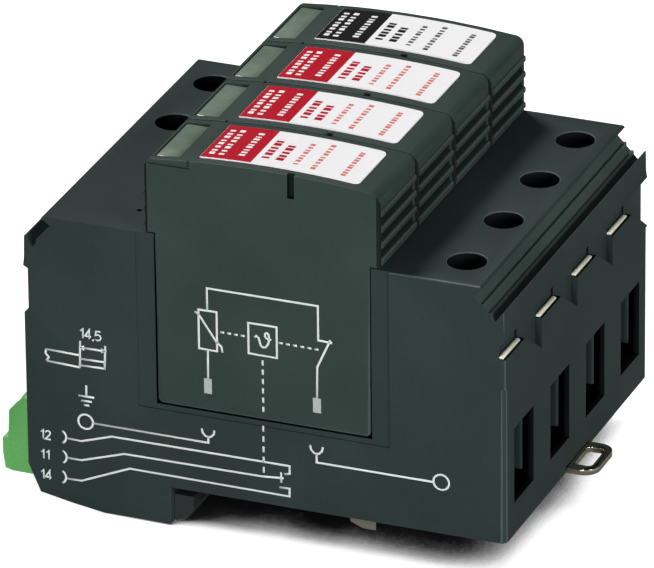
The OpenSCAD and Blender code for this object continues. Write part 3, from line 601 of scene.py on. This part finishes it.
ink = {"line": 0.42, "digit": 0.31, "spread": 1.2, "flat": 0.08, "proud": 0.012, "field": 0.3,
       "dash": (0.05, 0.62), "ringSteps": 28}
cup = {"angle": 62, "steps": 3, "wide": 1.3, "high": 1.35}
plugLines = [
    [(-10.35, 35.6), (-10.35, 39.85), (10.35, 39.85), (10.35, 33.3), (12.95, 33.2)],
    [(12.6, 33.7), (10.1, 28.1), (10.0, 22.0)],
    [(-12.0, 28.0), (-8.6, 28.0), (-8.6, 35.5), (-12.0, 35.5), (-12.0, 28.0)],
    [(-12.7, 35.0), (-12.0, 34.6), (-8.6, 29.6), (-7.8, 29.0), (-7.6, 27.9)],
    [(-10.35, 28.0), (-10.4, 22.4)],
    [(-2.7, 28.6), (2.6, 28.6), (2.6, 34.5), (-2.7, 34.5), (-2.7, 28.6)],
    [(-1.6, 31.9), (-1.2, 32.2), (-0.8, 31.9), (-0.6, 31.2), (-0.4, 30.5), (0.0, 30.2), (0.5, 30.3),
     (1.0, 31.0), (1.2, 32.0), (1.1, 32.8), (0.8, 33.1), (0.45, 32.9), (0.4, 32.4), (0.7, 32.0), (1.6, 31.9)],
]
plugDashes = [((-8.0, 31.8), (-2.9, 31.8), 4), ((2.9, 31.6), (10.9, 31.5), 6),
              ((-0.1, 27.8), (-0.1, 17.0), 6)]
plugFields = [((-11.15, 19.5), (-9.7, 22.4)), ((9.25, 19.3), (10.75, 22.1))]
baseLines = [
    [(-32.25, 10.0), (-10.5, 10.0), (-10.5, 11.2)],
    [(-11.7, 12.6), (-11.55, 11.8), (-11.0, 11.2), (-10.5, 11.1), (-10.0, 11.2), (-9.45, 11.8),
     (-9.3, 12.6)],
    [(31.45, 9.75), (9.85, 9.7), (9.85, 11.4)],
    [(8.65, 12.9), (8.8, 12.1), (9.35, 11.5), (9.85, 11.4), (10.35, 11.5), (10.9, 12.1), (11.05, 12.9)],
    [(-33.5, 17.2), (-33.5, 15.1)], [(-35.0, 15.0), (-32.0, 15.0)], [(-34.5, 14.1), (-32.5, 14.1)],
    [(-34.0, 13.3), (-33.0, 13.3)],
    [(-41.0, 23.0), (-34.55, 22.85)], [(-41.0, 20.75), (-34.6, 20.5)],
    [(-41.0, 20.75), (-40.5, 21.5), (-41.1, 22.2), (-41.0, 23.0)],
    [(-34.45, 25.7), (-34.6, 20.45)], [(-29.7, 25.5), (-29.9, 20.85)],
    [(-34.5, 22.2), (-29.8, 22.3)], [(-34.5, 20.95), (-29.9, 21.05)], [(-34.4, 24.4), (-29.8, 24.45)],
    [(-33.7, 24.75), (-34.35, 24.4), (-33.7, 24.05)], [(-30.5, 24.8), (-29.85, 24.45), (-30.5, 24.1)],
    [(-37.4, 6.2), (-34.6, 6.1), (-28.8, 8.0), (4.75, 8.1), (4.75, 6.6), (3.7, 6.4)],
    [(-37.4, 2.35), (-34.65, 2.35), (-26.5, 5.0), (-0.4, 5.2), (3.6, 5.55)], [(3.15, 6.65), (3.15, 4.6)],
    [(-37.6, -1.75), (-34.75, -1.7), (-25.5, 2.3), (4.7, 2.2), (4.7, 3.7), (2.8, 3.65)],
]
baseDashes = [((-0.1, 15.2), (-0.1, 5.2), 5)]
ringMarks = [((-33.75, 10.05), 1.4), ((33.05, 9.95), 1.45)]
cupMarks = [(-37.55, 6.3), (-37.55, 2.4), (-37.75, -1.6)]  # the three signal contacts
numberMarks = [("12", (-42.6, 5.35), 1.65), ("11", (-42.6, 1.4), 1.65), ("14", (-42.7, -2.55), 1.65),
               ("14,5", (-34.6, 26.3), 1.75)]

figures = {  # advance, then strokes, in parts of the height
    "1": (0.5, [[(0.1, 0.76), (0.34, 1.0), (0.34, 0.0)]]),
    "2": (0.64, [[(0.04, 0.76), (0.12, 0.93), (0.3, 1.0), (0.46, 0.93), (0.52, 0.76), (0.45, 0.56),
                  (0.04, 0.0), (0.55, 0.0)]]),
    "4": (0.66, [[(0.42, 0.0), (0.42, 1.0), (0.02, 0.28), (0.58, 0.28)]]),
    "5": (0.64, [[(0.52, 1.0), (0.11, 1.0), (0.06, 0.54), (0.28, 0.64), (0.48, 0.54), (0.54, 0.32),
                  (0.45, 0.08), (0.24, 0.0), (0.03, 0.1)]]),
    ",": (0.26, [[(0.14, 0.06), (0.04, -0.16)]]),
}


def dashed(a, b, count):
    a, b = Vector(a), Vector(b)
    return [[tuple(a.lerp(b, (i + end) / count)) for end in ink["dash"]] for i in range(count)]


def ringLine(centre, radius):
    turns = [2 * math.pi * i / ink["ringSteps"] for i in range(ink["ringSteps"] + 1)]
    return [(centre[0] + radius * math.cos(t), centre[1] + radius * math.sin(t)) for t in turns]


def addCurve(bm, lines, width, place):
    curve = bpy.data.curves.new("stroke", "CURVE")
    curve.dimensions = "2D"
    curve.fill_mode = "NONE"
    curve.bevel_depth = width / 2 * mm
    curve.bevel_resolution = 1
    curve.use_fill_caps = True
    for line in lines:
        closed = len(line) > 3 and line[0] == line[-1]
        points = line[:-1] if closed else line
        spline = curve.splines.new("POLY")
        spline.points.add(len(points) - 1)
        for point, (x, z) in zip(spline.points, points):
            point.co = (x * mm, z * mm, 0, 1)
        spline.use_cyclic_u = closed
    thing = bpy.data.objects.new("stroke", curve)
    mesh = bpy.data.meshes.new_from_object(thing)
    mesh.transform(place)
    bm.from_mesh(mesh)
    bpy.data.objects.remove(thing)
    bpy.data.meshes.remove(mesh)


def numberStrokes(words, corner, height):  # plain figures drawn as strokes
    strokes, start = [], corner[0]
    across = height * ink["spread"]
    for sign in words:
        wide, lines = figures[sign]
        for line in lines:
            strokes.append([(start + x * across, corner[1] + z * height) for x, z in line])
        start += wide * across
    return strokes


def cupLine(x, z):  # an open arc before a signal contact
    turns = [math.radians(cup["angle"] * i / cup["steps"]) for i in range(-cup["steps"], cup["steps"] + 1)]
    middleX = x - cup["wide"]
    return [(middleX + cup["wide"] * math.cos(t), z + cup["high"] * math.sin(t)) for t in turns]


def sidePlace(y):  # the flat drawing stands up on the side face
    thin = Matrix.Diagonal((1, 1, ink["flat"], 1))
    upright = Matrix.Rotation(math.radians(90), 4, "X")
    return Matrix.Translation((0, (y - ink["proud"]) * mm, 0)) @ upright @ thin


def printPiece(name, y, lines, fields, numbers):
    bm = bmesh.new()
    place = sidePlace(y)
    addCurve(bm, lines, ink["line"], place)
    plain = len(bm.faces)
    for (x0, z0), (x1, z1) in fields:
        flat = Matrix.Diagonal(((x1 - x0) * mm, (z1 - z0) * mm, ink["field"] * mm, 1))
        spot = Matrix.Translation(((x0 + x1) / 2 * mm, (z0 + z1) / 2 * mm, 0))
        bmesh.ops.create_cube(bm, size=1, matrix=place @ spot @ flat)
    bm.faces.ensure_lookup_table()
    for face in bm.faces[plain:]:
        face.material_index = 1
    figureLines = [line for mark in numbers for line in numberStrokes(*mark)]
    addCurve(bm, figureLines, ink["digit"], place)
    bmesh.ops.remove_doubles(bm, verts=bm.verts[:], dist=soft["sliver"] * mm)
    return meshObject(name, bm, [printInk, fieldInk])


plugStrokes = plugLines + [d for run in plugDashes for d in dashed(*run)]
baseStrokes = baseLines + [d for run in baseDashes for d in dashed(*run)]
baseStrokes += [ringLine(*r) for r in ringMarks] + [cupLine(*c) for c in cupMarks]
sidePrint = printPiece("plugPrint", -35.45, plugStrokes, plugFields, [])
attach(sidePrint, "plug_1")
basePrint = printPiece("basePrint", -35.6, baseStrokes, [], numberMarks)
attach(basePrint, "base")
print("side print made")


stage = {"floor": -7.5, "half": 3000, "colour": (166, 166, 166), "contact": (40, 40, 40), "reach": 16,
         "open": (0.3, 0.5), "fade": (-16, -34), "glow": 0.95, "rough": 0.8, "sky": 0.05}
white = (1, 1, 1, 1)
bm = bmesh.new()
bmesh.ops.create_grid(bm, x_segments=2, y_segments=2, size=stage["half"] * mm,
                      matrix=Matrix.Translation((0, 0, stage["floor"] * mm)))
floorMat, nodes, links, bsdf = newMaterial("paleFloor")
bsdf.inputs["Roughness"].default_value = stage["rough"]
bsdf.inputs["Specular IOR Level"].default_value = 0
bsdf.inputs["Emission Color"].default_value = white
contact = nodes.new("ShaderNodeAmbientOcclusion")  # painted contact shadow: occlusion darkens the floor's colour and glow near the object, the rest of the floor is white
contact.inputs["Distance"].default_value = stage["reach"] * mm
clear = rangeNode(nodes, links, contact.outputs["AO"], stage["open"])
apart = nodes.new("ShaderNodeSeparateXYZ")
links.new(nodes.new("ShaderNodeTexCoord").outputs["Object"], apart.inputs["Vector"])
fade = rangeNode(nodes, links, apart.outputs["X"], tuple(x * mm for x in stage["fade"]))
lit = mathNode(nodes, links, "ADD", clear, fade)  # the painted shadow is faded out by position towards the lit left
tone = mixNode(nodes, links, lit, srgb(*stage["contact"]), srgb(*stage["colour"]))
links.new(tone, bsdf.inputs["Base Color"])
level = mathNode(nodes, links, "MULTIPLY", lit, stage["glow"])
seen = nodes.new("ShaderNodeLightPath").outputs["Is Camera Ray"]
links.new(mathNode(nodes, links, "MULTIPLY", seen, level), bsdf.inputs["Emission Strength"])
floor = meshObject("studioFloor", bm, [floorMat])

world = bpy.data.worlds.new("studioWorld")
bpy.context.scene.world = world
world.use_nodes = True
sky = world.node_tree.nodes["Background"]
sky.inputs["Color"].default_value = white
sky.inputs["Strength"].default_value = stage["sky"]

aimAt = Vector((0, 0, 0.03))
lamps = {
    "keyLamp": {"place": (-0.72, 0.56, 1.31), "size": 0.34, "power": 21.5},
    "frontLamp": {"place": (0.1, -1.5, 0.15), "size": 0.5, "power": 15},
    "rightLamp": {"place": (1.28, -0.66, 0.43), "size": 0.5, "power": 14.5},
}
for name, lamp in lamps.items():
    light = bpy.data.lights.new(name, "AREA")
    light.size = lamp["size"]
    light.energy = lamp["power"]
    thing = bpy.data.objects.new(name, light)
    thing.location = lamp["place"]
    thing.rotation_euler = (aimAt - Vector(lamp["place"])).to_track_quat("-Z", "Y").to_euler()
    thing.visible_camera = False
    bpy.context.scene.collection.objects.link(thing)

# camera fitted to the photo: place in mm, focal length in pixels of its width
shot = {"place": (572.0, -1421.9, 757.9), "azimuth": 21.99, "elevation": 25.51, "roll": -0.645,
        "focal": 9623.2, "pixels": 654, "sensor": 36, "clip": (0.05, 20)}
az, el, roll = (math.radians(shot[k]) for k in ("azimuth", "elevation", "roll"))
look = Vector((-math.sin(az) * math.cos(el), math.cos(az) * math.cos(el), -math.sin(el)))
right = look.cross(Vector((0, 0, 1))).normalized()
up = right.cross(look)
right, up = math.cos(roll) * right + math.sin(roll) * up, math.cos(roll) * up - math.sin(roll) * right
turn = Matrix((right, up, -look)).transposed().to_4x4()
camData = bpy.data.cameras.new("photoCamera")
camData.sensor_width = shot["sensor"]
camData.lens = shot["sensor"] * shot["focal"] / shot["pixels"]
camData.clip_start, camData.clip_end = shot["clip"]
camera = bpy.data.objects.new("photoCamera", camData)
camera.matrix_world = Matrix.Translation(Vector(shot["place"]) * mm) @ turn
bpy.context.scene.collection.objects.link(camera)
bpy.context.scene.camera = camera
bpy.context.scene.view_settings.view_transform = "Standard"
print("stage, lamps and camera set")
